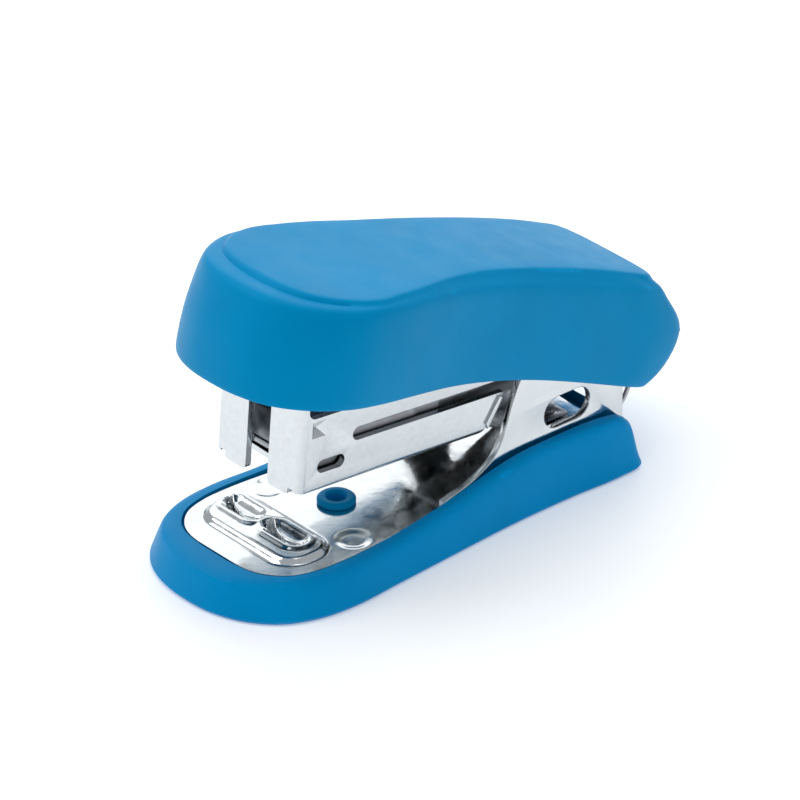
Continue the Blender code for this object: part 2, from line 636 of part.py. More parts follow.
def handle_frame():
    """The pressed channel under the cap, with a lobe on each side for the pin."""
    front, rear = FRAME_FRONT, FRAME_REAR
    flange = (
        [(front, WEB_TOP - 0.3), (front, 6.0), (front + 1.0, 5.2), (-9.0, 5.2), (-6.0, 4.0), (-3.4, 1.0)]
        + arc((0, 0), 3.0, 190, 350, 8)
        + [(3.4, 2.0), (rear, 5.0), (rear, WEB_TOP - 0.3)]
    )
    web = (WEB_BOTTOM, WEB_TOP)
    frame = box("handle_frame", (-FRAME_OUT, FRAME_OUT), (front, rear), web, HANDLE, "steel")
    outer = FRAME_OUT - 0.001
    for side, low, high in (("right", FRAME_IN, outer), ("left", -outer, -FRAME_IN)):
        join(frame, slab(f"frame_{side}", flange, low, high, "X", HANDLE))
    cut(frame, cylinder("pin_way_frame", PIN_HOLE_R, (-9, 9), 0, 0, HANDLE, along="X"))
    for side in (-1, 1):
        x = side * RIVET_X
        cut(frame, cylinder(f"rivet_hole_{side}", RIVET_HOLE_R, x, RIVET_Y, (5, 12), HANDLE, sides=16))
    return frame


BLADE_FRONT, BLADE_T, BLADE_TIP, TAB_REAR = -43.35, 0.6, -4.5, -34.5


def driver_blade():
    """The blade that drives the staple: a plate with a tab folded back under the channel."""
    tab_top, back = WEB_BOTTOM - FIT, BLADE_FRONT + BLADE_T
    profile = [
        (BLADE_FRONT, BLADE_TIP), (back, BLADE_TIP), (back, tab_top - BLADE_T), (TAB_REAR, tab_top - BLADE_T),
        (TAB_REAR, tab_top), (BLADE_FRONT + 0.3, tab_top), (BLADE_FRONT, tab_top - 0.3),
    ]
    blade = slab("driver_blade", profile, -4.2, 4.2, "X", HANDLE, "steel")
    face = (BLADE_FRONT + 0.001, back - 0.001)
    join(blade, box("blade_face", (-6.1, 6.1), face, (BLADE_TIP, 6.6), HANDLE))
    for side in (-1, 1):
        x = side * RIVET_X
        cut(blade, cylinder(f"tab_hole_{side}", RIVET_HOLE_R, x, RIVET_Y, (5, 12), HANDLE, sides=16))
    return blade


def blade_rivet(name, x):
    """One of the two rivets that hold the blade's tab to the channel."""
    low = WEB_BOTTOM - FIT - BLADE_T
    rivet = cylinder(name, RIVET_R, x, RIVET_Y, (low - 0.3, WEB_TOP + 0.25), HANDLE, "steel", sides=16)
    join(rivet, cylinder(name + "_head", 1.35, x, RIVET_Y, (low - 0.5, low - 0.1), HANDLE, sides=16))
    join(rivet, cylinder(name + "_top", 1.2, x, RIVET_Y, (WEB_TOP + 0.1, WEB_TOP + 0.35), HANDLE, sides=16))
    return rivet


def handle_spring():
    """The torsion spring on the pin: one leg on the rail's floor, the other under the channel."""
    radius, wire_r, turns, steps, half_width = 2.0, 0.3, 5, 12, 2.3
    relative = math.radians(HANDLE_TILT - MAGAZINE_TILT)
    across, up = math.cos(relative), math.sin(relative)
    floor = RAIL_BOTTOM + RAIL_T + wire_r + FIT
    lower = []
    for y, z in ((-14.0, floor + 0.2), (-9.0, floor)):
        lower.append((-half_width, y * across - z * up, y * up + z * across))
    round_pin = []
    start = math.radians(250)
    sweep = math.radians(360 * turns - 160)
    count = turns * steps
    for i in range(count + 1):
        angle = start + sweep * i / count
        x = half_width * (2 * i / count - 1)
        round_pin.append((x, radius * math.cos(angle), radius * math.sin(angle)))
    ceiling = WEB_BOTTOM - wire_r - FIT
    upper = [(half_width, y, z) for y, z in ((-6.0, 4.6), (-10.0, ceiling - 0.15), (-13.5, ceiling))]
    return wire("handle_spring", lower + round_pin + upper, wire_r, HANDLE, "steel")


LINK_X, LINK_R = 7.15, 0.3


def tail_wire():
    """The bent link wire at the rear: a bar inside the cap's tail, with a leg down each side to the base."""
    leg = [(-0.6, -8.55), (1.2, -7.8), (3.6, -7.3), (5.3, -5.8), (5.9, -3.9), (5.9, -2.1)]
    down = [(-LINK_X, y, z) for y, z in leg]
    over = [(side * (LINK_X - 0.75), 5.95, -1.3) for side in (-1, 1)]
    up = [(LINK_X, y, z) for y, z in reversed(leg)]
    return wire("tail_wire", down + over + up, LINK_R, HANDLE, "steel")


base_cover()
base_plate()
base_rivet()
pivot_pin()
magazine_spring()
leaf_rivet()
magazine_shell()
staple_rail()
for rivet_name, rivet_y in RAIL_RIVETS.items():
    rail_rivet(rivet_name, rivet_y)
guide_rod()
spring_seat()
pusher()
pusher_spring()
cap()
handle_frame()
driver_blade()
blade_rivet("blade_rivet_right", RIVET_X)
blade_rivet("blade_rivet_left", -RIVET_X)
handle_spring()
tail_wire()
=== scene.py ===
# %% [markdown]
# # A mini stapler, finished for a close look
# The solids of this stapler are already designed: they fix every size, every place and every joint.
# What is left is the surface: rounded plastic, bright pressed steel, wire that looks drawn and bent.
# Most pieces below either refine a copy of a solid or are modelled again with Blender's own tools,
# and each one then rides on the body it belongs to, so that the stapler still opens and closes.

# %% Load the frame
import json
import math

import bmesh
import bpy
from mathutils import Matrix, Vector


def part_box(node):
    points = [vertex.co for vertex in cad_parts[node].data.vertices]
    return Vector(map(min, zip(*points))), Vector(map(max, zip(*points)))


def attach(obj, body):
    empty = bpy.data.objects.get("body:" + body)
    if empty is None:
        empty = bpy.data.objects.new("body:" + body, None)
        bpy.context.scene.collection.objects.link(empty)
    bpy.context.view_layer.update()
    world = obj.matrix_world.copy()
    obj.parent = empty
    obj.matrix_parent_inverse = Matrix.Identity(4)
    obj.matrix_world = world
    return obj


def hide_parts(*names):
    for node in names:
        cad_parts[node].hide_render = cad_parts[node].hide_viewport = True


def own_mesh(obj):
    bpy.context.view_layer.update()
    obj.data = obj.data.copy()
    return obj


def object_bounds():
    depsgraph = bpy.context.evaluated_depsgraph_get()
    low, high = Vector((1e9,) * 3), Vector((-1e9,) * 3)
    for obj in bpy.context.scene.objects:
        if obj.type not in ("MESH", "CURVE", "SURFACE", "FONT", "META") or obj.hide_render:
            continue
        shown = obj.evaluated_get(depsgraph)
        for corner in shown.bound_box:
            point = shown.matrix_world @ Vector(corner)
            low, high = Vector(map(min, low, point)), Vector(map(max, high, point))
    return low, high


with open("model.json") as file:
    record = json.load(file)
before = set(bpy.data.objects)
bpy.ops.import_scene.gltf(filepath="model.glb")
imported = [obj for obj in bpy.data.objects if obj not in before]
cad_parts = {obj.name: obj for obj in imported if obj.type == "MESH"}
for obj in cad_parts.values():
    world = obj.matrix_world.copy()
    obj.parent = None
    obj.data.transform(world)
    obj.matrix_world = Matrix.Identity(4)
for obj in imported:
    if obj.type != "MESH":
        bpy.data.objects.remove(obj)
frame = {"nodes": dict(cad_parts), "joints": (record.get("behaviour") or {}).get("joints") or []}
cad_box = [list(corner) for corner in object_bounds()]
box_mm = [[round(1000 * v, 1) for v in corner] for corner in cad_box]
print("solids:", len(frame["nodes"]), "box in mm:", box_mm)

# %% [markdown]
# ## Working in millimetres, level and at the origin
# The magazine and the handle stand tilted on one pin. Sheet metal is much easier to draw level, with the
# pin at the origin, so those pieces are modelled in millimetres in a level frame and moved home at the
# end by one matrix. The pin's place and the magazine's tilt are read from the joints, not typed in again.

# %% Frames for the tilted pieces
MM = 0.001
joints = {joint["name"]: joint for joint in frame["joints"]}
PIN = Vector(joints["magazine_hinge"]["pos_m"])
slide = Vector(joints["pusher_slide"]["axis"])
MAGAZINE_TILT = math.atan2(-slide.z, slide.y)
HANDLE_TILT = math.radians(16)
RIVET_PLACE = sum(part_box("base_rivet"), Vector()) / 2


def level_frame(tilt):
    """The matrix that takes a piece drawn level, in mm, with the pin at its origin, to its place."""
    return Matrix.Translation(PIN) @ Matrix.Rotation(-tilt, 4, "X") @ Matrix.Scale(MM, 4)


MAGAZINE = level_frame(MAGAZINE_TILT)
HANDLE = level_frame(HANDLE_TILT)
BASE = Matrix.Translation((0, RIVET_PLACE.y, 0)) @ Matrix.Scale(MM, 4)
ROW = Matrix.Scale(MM, 4)
pin_mm = tuple(round(v / MM, 2) for v in PIN)
print("magazine tilt", round(math.degrees(MAGAZINE_TILT), 2), "pin at", pin_mm)

# %% [markdown]
# ## Small tools
# An operator acts on whatever is selected, so every step starts from a known selection. These helpers
# clear it, choose faces or edges by where they are, and add a modifier and apply it at once, which is
# what one does by hand with Ctrl+A.

# %% Selecting and applying


def rest():
    """Leave edit mode, with nothing selected."""
    if bpy.context.mode != "OBJECT":
        bpy.ops.object.mode_set(mode="OBJECT")
    bpy.ops.object.select_all(action="DESELECT")


def active(obj):
    rest()
    obj.select_set(True)
    bpy.context.view_layer.objects.active = obj
    return obj


def edit(obj, kind, chosen):
    """Edit mode with only those vertices, edges or faces selected that pass the test."""
    active(obj)
    bpy.ops.object.mode_set(mode="EDIT")
    bpy.ops.mesh.select_mode(type=kind)
    bpy.ops.mesh.select_all(action="DESELECT")
    bm = bmesh.from_edit_mesh(obj.data)
    parts = {"VERT": bm.verts, "EDGE": bm.edges, "FACE": bm.faces}[kind]
    for part in parts:
        part.select_set(chosen(part))
    bm.select_flush_mode()
    bmesh.update_edit_mesh(obj.data)


def modify(obj, kind, **settings):
    active(obj)
    modifier = obj.modifiers.new(kind.title(), kind)
    for name, value in settings.items():
        setattr(modifier, name, value)
    bpy.ops.object.modifier_apply(modifier=modifier.name)
    return obj


def weld(obj, distance=0.001):
    """Merge what lies on one spot, and turn every face outwards."""
    edit(obj, "VERT", lambda vert: True)
    bpy.ops.mesh.remove_doubles(threshold=distance)
    bpy.ops.mesh.normals_make_consistent(inside=False)
    rest()
    return obj


def round_edges(obj, width, segments=2, angle=35):
    return modify(
        obj, "BEVEL", width=width, segments=segments, limit_method="ANGLE",
        angle_limit=math.radians(angle), harden_normals=False,
    )


def cut(obj, cutter, operation="DIFFERENCE"):
    """Take one shape from another, and throw the cutter away."""
    modify(obj, "BOOLEAN", object=cutter, operation=operation, solver="MANIFOLD")
    bpy.data.objects.remove(cutter, do_unlink=True)
    return obj


print("helpers ready")

# %% [markdown]
# A primitive is only the start of a piece. `block` and `bar` add one at its own size and place, with its
# scale already applied, because a bevel would otherwise be stretched with it.

# %% Starting shapes


def block(name, x, y, z):
    """A box between two corners, each of x, y and z a (low, high) pair."""
    rest()
    middle = [(low + high) / 2 for low, high in (x, y, z)]
    sides = [high - low for low, high in (x, y, z)]
    bpy.ops.mesh.primitive_cube_add(size=1, location=middle, scale=sides)
    obj = bpy.context.active_object
    obj.name = obj.data.name = name
    bpy.ops.object.transform_apply(location=True, rotation=True, scale=True)
    return obj


def bar(name, radius, low, high, turn=(0, 0, 0), at=(0, 0, 0), sides=48):
    """A round bar from low to high along its own axis, turned and moved to its place."""
    rest()
    bpy.ops.mesh.primitive_cylinder_add(vertices=sides, radius=radius, depth=high - low)
    obj = bpy.context.active_object
    obj.name = obj.data.name = name
    obj.data.transform(Matrix.Translation((0, 0, (low + high) / 2)))
    obj.rotation_euler = turn
    obj.location = at
    bpy.ops.object.transform_apply(location=True, rotation=True, scale=True)
    return obj


ALONG_X = (0, math.pi / 2, 0)
print("block and bar ready; a bar along X is turned by", tuple(round(a, 3) for a in ALONG_X))

# %% [markdown]
# ## Outlines
# Pressed sheet starts as a flat blank. In Blender that is a 2D curve: its fill gives the face, a second
# loop in it gives a hole, its extrude gives the gauge of the sheet and a small bevel rounds the sheared
# edge. `smooth_line` draws an even line through a few chosen points, and `arc` gives round corners.

# %% Flat blanks


def smooth_line(points, spacing=0.4):
    """A soft line through the points, with a point about every spacing millimetres."""
    spots = [Vector(point) for point in points]
    spans = [(b - a).length for a, b in zip(spots, spots[1:])]
    runs = [(b - a) / span for a, b, span in zip(spots, spots[1:], spans)]
    slopes = [runs[0]]
    for i in range(1, len(runs)):
        mean = runs[i - 1] * spans[i] + runs[i] * spans[i - 1]
        slopes.append(mean / (spans[i - 1] + spans[i]))
    slopes.append(runs[-1])
    line = []
    for i, span in enumerate(spans):
        steps = max(2, round(span / spacing))
        for k in range(steps):
            t = k / steps
            line.append(
                (2 * t**3 - 3 * t**2 + 1) * spots[i]
                + (t**3 - 2 * t**2 + t) * span * slopes[i]
                + (3 * t**2 - 2 * t**3) * spots[i + 1]
                + (t**3 - t**2) * span * slopes[i + 1]
            )
    line.append(spots[-1])
    return line


def arc(centre, radius, start, end, steps=10):
    found = []
    for i in range(steps + 1):
        angle = math.radians(start + (end - start) * i / steps)
        found.append((centre[0] + radius * math.cos(angle), centre[1] + radius * math.sin(angle)))
    return found


def stadium(centre, length, height):
    reach = (length - height) / 2
    right = arc((centre[0] + reach, centre[1]), height / 2, -90, 90)
    return right + arc((centre[0] - reach, centre[1]), height / 2, 90, 270)


def blank(name, loops, low, high, rounding=0.0):
    """A sheet with (y, z) outlines, standing between two values of x. The first loop is its edge."""
    curve = bpy.data.curves.new(name, "CURVE")
    curve.dimensions = "2D"
    curve.fill_mode = "BOTH"
    curve.extrude = (high - low) / 2 - rounding
    curve.bevel_depth = rounding
    curve.bevel_resolution = 1
    curve.offset = -rounding
    for loop in loops:
        spline = curve.splines.new("POLY")
        spline.points.add(len(loop) - 1)
        for point, spot in zip(spline.points, loop):
            point.co = (spot[0], spot[1], 0, 1)
        spline.use_cyclic_u = True
    obj = bpy.data.objects.new(name, curve)
    bpy.context.scene.collection.objects.link(obj)
    active(obj)
    bpy.ops.object.convert(target="MESH")
    obj = bpy.context.active_object
    upright = Matrix(((0, 0, 1, (low + high) / 2), (1, 0, 0, 0), (0, 1, 0, 0), (0, 0, 0, 1)))
    obj.data.transform(upright)
    return weld(obj)


print("a blank is a filled curve, made a mesh and stood up along X")

# %% [markdown]
# ## Copies of the solids
# A solid comes in as loose triangles. For a moulded or machined piece whose shape is already right, a
# copy is taken: its points are merged, its triangles are joined back into four-sided faces, and then its
# edges are rounded and its faces are smoothed, as the real mould or press would leave them.

# %% Refining a copy


def copy_of(node, name):
    """A merged copy of a solid, in millimetres and in the row's frame."""
    mesh = frame["nodes"][node].data.copy()
    mesh.materials.clear()
    mesh.transform(Matrix.Scale(1 / MM, 4))
    obj = bpy.data.objects.new(name, mesh)
    bpy.context.scene.collection.objects.link(obj)
    edit(obj, "FACE", lambda face: True)
    bpy.ops.mesh.remove_doubles(threshold=0.0005)
    bpy.ops.mesh.tris_convert_to_quads(face_threshold=math.pi, shape_threshold=math.pi)
    rest()
    return obj


def finish(obj, home, node, body, look, sharp=40):
    """Move a piece home, smooth it, give it its finish and let it ride on its body."""
    obj.data.transform(home)
    obj.data.update()
    active(obj)
    bpy.ops.object.shade_smooth_by_angle(angle=math.radians(sharp))
    obj.data.materials.clear()
    obj.data.materials.append(look)
    if node:
        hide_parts(node)
    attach(obj, body)
    print(f"{obj.name}: {len(obj.data.polygons)} faces on {body}")
    return obj


# %% [markdown]
# ## Shared effects
# Four small node groups serve every finish. `slow_change` drifts slowly over a surface, for uneven gloss
# and tone. `fine_grain` is the moulding or rolling texture, as a height. `rubbed_edge` finds convex edges
# and breaks them up, for wear. `drawn_lines` stretches noise along one direction, for rolled sheet and
# drawn wire. A group gives out only what varies; plain values stay on the shader itself.

# %% Node group tools


def group(name, inputs, outputs):
    tree = bpy.data.node_groups.new(name, "ShaderNodeTree")
    for label, value in inputs:
        socket = tree.interface.new_socket(name=label, in_out="INPUT", socket_type="NodeSocketFloat")
        socket.default_value = value
    for label in outputs:
        tree.interface.new_socket(name=label, in_out="OUTPUT", socket_type="NodeSocketFloat")
    return tree, tree.nodes.new("NodeGroupInput").outputs, tree.nodes.new("NodeGroupOutput").inputs


def node(tree, kind, links=None, **settings):
    """A node with its settings; links gives its inputs, as values or as another node's output."""
    made = tree.nodes.new("ShaderNode" + kind)
    for name, value in settings.items():
        setattr(made, name, value)
    for key, value in (links or {}).items():
        if isinstance(value, bpy.types.NodeSocket):
            tree.links.new(value, made.inputs[key])
        else:
            made.inputs[key].default_value = value
    return made


def slow_change():
    tree, given, out = group("slow_change", [("Scale", 200.0), ("Low", 0.3), ("High", 0.4)], ["Value"])
    where = node(tree, "TexCoord").outputs["Object"]
    noise = node(tree, "TexNoise", {"Vector": where, "Scale": given["Scale"], "Detail": 2.0})
    spread = node(tree, "MapRange", {
        "Value": noise.outputs["Fac"], "From Min": 0.3, "From Max": 0.7,
        "To Min": given["Low"], "To Max": given["High"],
    })
    tree.links.new(spread.outputs["Result"], out["Value"])
    return tree


def fine_grain():
    tree, given, out = group("fine_grain", [("Scale", 6000.0)], ["Height"])
    where = node(tree, "TexCoord").outputs["Object"]
    noise = node(tree, "TexNoise", {
        "Vector": where, "Scale": given["Scale"], "Detail": 3.0, "Roughness": 0.6,
    })
    tree.links.new(noise.outputs["Fac"], out["Height"])
    return tree


def rubbed_edge():
    tree, given, out = group("rubbed_edge", [("Start", 0.53), ("Full", 0.62)], ["Mask"])
    where = node(tree, "TexCoord").outputs["Object"]
    point = node(tree, "NewGeometry").outputs["Pointiness"]
    broken = node(tree, "TexNoise", {"Vector": where, "Scale": 1500.0, "Detail": 4.0})
    edge = node(tree, "MapRange", {"Value": point, "From Min": given["Start"], "From Max": given["Full"]})
    mask = node(tree, "Math", {0: edge.outputs["Result"], 1: broken.outputs["Fac"]}, operation="MULTIPLY")
    tree.links.new(mask.outputs["Value"], out["Mask"])
    return tree


def drawn_lines():
    tree, given, out = group("drawn_lines", [("Scale", 3000.0), ("Stretch", 0.05)], ["Height", "Mask"])
    where = node(tree, "TexCoord").outputs["Object"]
    spread = node(tree, "CombineXYZ", {"X": 1.0, "Y": given["Stretch"], "Z": 1.0})
    along = node(tree, "VectorMath", {0: where, 1: spread.outputs["Vector"]}, operation="MULTIPLY")
    noise = node(tree, "TexNoise", {
        "Vector": along.outputs["Vector"], "Scale": given["Scale"], "Detail": 3.0,
    })
    mask = node(tree, "MapRange", {"Value": noise.outputs["Fac"], "From Min": 0.58, "From Max": 0.72})
    tree.links.new(noise.outputs["Fac"], out["Height"])
    tree.links.new(mask.outputs["Result"], out["Mask"])
    return tree


GROUPS = {made.name: made for made in (slow_change(), fine_grain(), rubbed_edge(), drawn_lines())}
print("groups:", ", ".join(GROUPS))

# %% [markdown]
# ## Finishes
# A material here is one Principled shader with a few effects plugged in. `finish_base` makes the shader
# with its plain values, `effect` drops a group in, and `bump` turns heights into a normal.

# %% Material tools


def finish_base(name, colour, roughness, metallic=0.0):
    look = bpy.data.materials.new(name)
    look.use_nodes = True
    shader = look.node_tree.nodes["Principled BSDF"]
    shader.inputs["Base Color"].default_value = (*colour, 1)
    shader.inputs["Roughness"].default_value = roughness
    shader.inputs["Metallic"].default_value = metallic
    return look, look.node_tree, shader


def effect(tree, name, **values):
    made = tree.nodes.new("ShaderNodeGroup")
    made.node_tree = GROUPS[name]
    for label, value in values.items():
        made.inputs[label].default_value = value
    return made.outputs


def bump(tree, shader, height, distance, below=None):
    """Raise the surface by a height, on top of another bump where there is one."""
    made = node(tree, "Bump", {"Height": height, "Strength": 1.0, "Distance": distance})
    if below:
        tree.links.new(below.outputs["Normal"], made.inputs["Normal"])
    tree.links.new(made.outputs["Normal"], shader.inputs["Normal"])
    return made


def blend(tree, factor, first, second):
    """A colour between two colours; each may be a plain colour or another node's output."""
    made = node(tree, "Mix", {"Factor": factor}, data_type="RGBA")
    for socket, value in ((made.inputs[6], first), (made.inputs[7], second)):
        if isinstance(value, bpy.types.NodeSocket):
            tree.links.new(value, socket)
        else:
            socket.default_value = (*value, 1)
    return made.outputs[2]


print("a look is one Principled shader and any of:", ", ".join(GROUPS))


# %% [markdown]
# ### Moulded plastic
# The cap and the base are injection-moulded in the same azure plastic. It is smooth but not a mirror:
# the mould leaves a faint grain and slow waves, the gloss is uneven where fingers rub it, and exposed
# edges go a little paler. The base catches less light and reads a shade deeper, so it has its own look.

# %% Plastic looks


def moulded_plastic(name, colour, roughness):
    look, tree, shader = finish_base(name, colour, roughness)
    tone = effect(tree, "slow_change", Scale=90.0, Low=0.0, High=1.0)["Value"]
    body = blend(tree, tone, [0.95 * c for c in colour], [min(1, 1.05 * c) for c in colour])
    worn = effect(tree, "rubbed_edge", Start=0.54, Full=0.68)["Mask"]
    pale = [min(1, 1.3 * c) for c in colour]
    edged = blend(tree, worn, body, pale)
    tree.links.new(edged, shader.inputs["Base Color"])
    gloss = effect(tree, "slow_change", Scale=260.0, Low=roughness - 0.05, High=roughness + 0.05)["Value"]
    tree.links.new(gloss, shader.inputs["Roughness"])
    waves = effect(tree, "fine_grain", Scale=420.0)["Height"]
    grain = effect(tree, "fine_grain", Scale=5200.0)["Height"]
    first = bump(tree, shader, waves, 0.000012)
    bump(tree, shader, grain, 0.0000022, first)
    shader.inputs["IOR"].default_value = 1.49
    shader.inputs["Specular IOR Level"].default_value = 0.16
    shader.inputs["Specular Tint"].default_value = (0.05, 0.8, 1.0, 1)
    return look


CAP_BLUE = moulded_plastic("cap_blue_plastic", (0.0, 0.262, 0.55), 0.42)
BASE_BLUE = moulded_plastic("base_blue_plastic", (0.0, 0.265, 0.59), 0.44)
RIVET_BLUE = moulded_plastic("rivet_blue_plastic", (0.0, 0.28, 0.6), 0.45)
print("plastics made")

# %% [markdown]
# ### Plated and bare steel
# The magazine and the base plate are nickel-plated: nearly a mirror, with rolling lines, tiny pits and a
# slow waviness that breaks the reflections up. The springs, rivets and rail are zinc-plated or bare, so
# greyer and softer. The follower is phosphated a dull grey. One function makes them all, since they
# differ only in how bright, how rough and how marked they are.

# %% Steel looks


def steel(name, colour, roughness, waves, marks, lines=2600.0):
    look, tree, shader = finish_base(name, colour, roughness, 1.0)
    tone = effect(tree, "slow_change", Scale=300.0, Low=0.0, High=1.0)["Value"]
    body = blend(tree, tone, [0.93 * c for c in colour], colour)
    drawn = effect(tree, "drawn_lines", Scale=lines, Stretch=0.04)
    dulled = blend(tree, drawn["Mask"], body, [(1 - marks) * c for c in colour])
    worn = effect(tree, "rubbed_edge", Start=0.55, Full=0.7)["Mask"]
    bright = blend(tree, worn, dulled, [min(1, 1.15 * c) for c in colour])
    tree.links.new(bright, shader.inputs["Base Color"])
    gloss = effect(tree, "slow_change", Scale=800.0, Low=roughness - 0.04, High=roughness + 0.07)["Value"]
    tree.links.new(gloss, shader.inputs["Roughness"])
    wavy = effect(tree, "fine_grain", Scale=260.0)["Height"]
    first = bump(tree, shader, wavy, waves)
    second = bump(tree, shader, drawn["Height"], 0.0000012, first)
    pits = effect(tree, "fine_grain", Scale=4000.0)["Height"]
    bump(tree, shader, pits, 0.0000012, second)
    return look


NICKEL = steel("nickel_plating", (0.64, 0.67, 0.68), 0.17, 0.00002, 0.08)
PLATE_NICKEL = steel("plate_nickel", (0.70, 0.73, 0.74), 0.11, 0.00003, 0.06)
ZINC = steel("zinc_plated_steel", (0.55, 0.56, 0.57), 0.3, 0.00001, 0.2)
SPRING = steel("spring_steel", (0.47, 0.47, 0.48), 0.26, 0.000004, 0.25, 5200.0)
DARK = steel("phosphated_steel", (0.3, 0.3, 0.32), 0.34, 0.00001, 0.3)
print("steels made")

# %% [markdown]
# ## The cap
# The cap is a thin moulding with a raised top, a step around it and deep rounded sides. Its solid is a
# loft of rings, so a copy turns back into clean quads. Rounding its rim first gives the subdivision
# something to hold on to: without those extra loops it would shrink the thin edge away.

# %% Cap
CAP_RIM, RIM_ANGLE = 0.22, 48
cap = copy_of("cap", "cap_shell")
round_edges(cap, CAP_RIM, segments=2, angle=RIM_ANGLE)
modify(cap, "SUBSURF", levels=2, render_levels=2)
finish(cap, ROW, "cap", "handle", CAP_BLUE, sharp=60)

# %% [markdown]
# ## The base cover
# The base is moulded as a tray: a flared skirt, a rounded rim and a pocket that the steel plate drops
# into. The same two steps serve, with a tighter radius on the rim, which is narrow.

# %% Base cover
TRAY_RIM = 0.2
cover = copy_of("base_cover", "base_tray")
round_edges(cover, TRAY_RIM, segments=2, angle=RIM_ANGLE)
modify(cover, "SUBSURF", levels=2, render_levels=2)
finish(cover, ROW, "base_cover", "base", BASE_BLUE, sharp=60)

# %% [markdown]
# ## The base plate
# The plate is one pressing. Its floor carries the anvil: a raised pad with two crimp wells, each a scoop
# with a curved lip and a deep slit beside it, inside a raised ring. Relief like that is easiest as a
# height over a grid: the grid's rows are fitted to the plate's outline, each point is lifted by the
# pressing's depth there, and Solidify then gives the sheet its gauge.

# %% Plate outline
GAUGE = 0.8
PLATE_TOP = 4.2
PLATE_EDGE = [
    (3.4, -17.32), (5.0, -17.12), (6.7, -16.5), (9.0, -14.4), (10.15, -11.0), (10.35, -7.5), (10.05, -2),
    (9.5, 5.0), (8.75, 9.5), (8.5, 13.0), (8.5, 33.8), (8.45, 35.0), (7.9, 35.65),
]
ANVIL_ENDS, FINE, MEDIUM, COARSE = (-12.3, -7.4), 0.1, 0.24, 0.6
NEARLY, MOST_SIDEWAYS = 0.9, 0.5


def plate_rows():
    """The half width and the place of each row, close together where the wells are."""
    rows = []
    for spot in smooth_line(PLATE_EDGE, FINE):
        in_wells = ANVIL_ENDS[0] < spot.y < ANVIL_ENDS[1]
        step = FINE if in_wells else COARSE if spot.y > 0 else MEDIUM
        if not rows or spot.y - rows[-1].y > NEARLY * step or spot.x - rows[-1].x > MOST_SIDEWAYS:
            rows.append(spot)
    return rows


ROWS = plate_rows()
print("rows:", len(ROWS))

# %% [markdown]
# The relief is a sum of simple shapes, each a soft step of the distance to a rounded outline. `soft` eases
# from 0 to 1, which is what a press radius looks like in section. The pad is one such step, and the round
# dimples beside it are shallow dishes. Each slope below is how many millimetres a step takes.

# %% Soft steps
PAD_HALF, PAD_MIDDLE, PAD_CORNER, PAD_RISE = (8.65, 4.05), (-0.05, -10.35), 3.5, 0.75
PAD_SLOPE, RINGS_IN = 1.15, 0.9
DIMPLES, DIMPLE_R, DIMPLE_DEPTH, DIMPLE_SLOPE = ((7.5, -3.9), (-7.5, -3.9)), 2.4, 0.24, 1.3


def soft(value):
    value = max(0.0, min(1.0, value))
    return value * value * (3 - 2 * value)


def outside(x, y, middle, half, corner):
    """How far a point is outside a rounded rectangle; negative inside it."""
    a = abs(x - middle[0]) - half[0] + corner
    b = abs(y - middle[1]) - half[1] + corner
    return math.hypot(max(a, 0), max(b, 0)) + min(max(a, b), 0) - corner


print("pad rises", PAD_RISE, "mm")

# %% [markdown]
# A well guides one leg of the staple. Its rim is a raised ring round a shallow bowl. Across the bowl runs
# a curved lip, sharp as a blade, and in front of the lip the steel drops into a slit that is deep and wide
# where the leg lands and runs out to nothing at the other end. Both wells point the same way.

# %% Crimp wells
WELLS = ((-4.75, -9.85), (2.6, -9.85))
WELL_MIDDLE, WELL_HALF, RING_RISE, RING_WIDTH = (0.15, 0.1), (3.7, 2.0), 0.26, 0.5
BOWL, BOWL_SLOPE, SLIT, SLIT_ENDS, SLIT_SLOPE = 0.42, 1.4, 1.45, (-3.15, 3.0), 0.32
BLADE_RISE, BLADE_WIDTH, TOOTH = 0.18, 0.22, 0.12


def well(s, t):
    """The height of one well at s along it and t across it, from its middle."""
    gap = outside(s, t, WELL_MIDDLE, WELL_HALF, WELL_HALF[1])
    ring = math.exp(-(((gap + 0.2) / RING_WIDTH) ** 2))
    height = RING_RISE * ring - BOWL * soft((-gap - 0.45) / BOWL_SLOPE)
    # The slit lies between its front edge and the lip, each a curve over s.
    lip = -0.32 + 1.1 * ((s - 0.4) / (3.05 if s < 0.4 else 2.6)) ** 2
    teeth = TOOTH * (1.6 * s % 1) * soft(-s)
    curl = 1.1 * ((0.9 - s) / 3.9) ** 2 if s < 0.9 else 1.6 * ((s - 0.9) / 2) ** 3
    front = -1.27 + teeth + curl
    start, end = SLIT_ENDS
    if not start < s < end or t < front - 0.2:
        return height
    # It is deep at its start and runs out to nothing at its end.
    fall = SLIT * soft((s - start) / 0.2) * (1 - 0.8 * soft((s + 0.3) / 3.1)) * soft((end - s) / 0.5)
    height -= fall * soft((lip - t) / SLIT_SLOPE) * soft((t - front) / SLIT_SLOPE)
    blade = math.exp(-(((t - lip - 0.15) / BLADE_WIDTH) ** 2))
    return height + BLADE_RISE * (blade * soft((s + 3.1) / 0.4) * soft((end - s) / 0.9))


def relief(x, y):
    """How far the pressing stands above or below the plate's flat top."""
    pad = outside(x, y, PAD_MIDDLE, PAD_HALF, PAD_CORNER)
    height = PAD_RISE * soft(-pad / PAD_SLOPE)
    if pad < 0:
        height += sum(well(x - a, y - b) for a, b in WELLS) * soft(-pad / RINGS_IN)
    for spot in DIMPLES:
        away = math.hypot(x - spot[0], y - spot[1])
        height -= DIMPLE_DEPTH * soft((DIMPLE_R - away) / DIMPLE_SLOPE)
    return height


print("lowest point of a well:", round(min(well(k / 10, -0.7) for k in range(-30, 31)), 2), "mm")

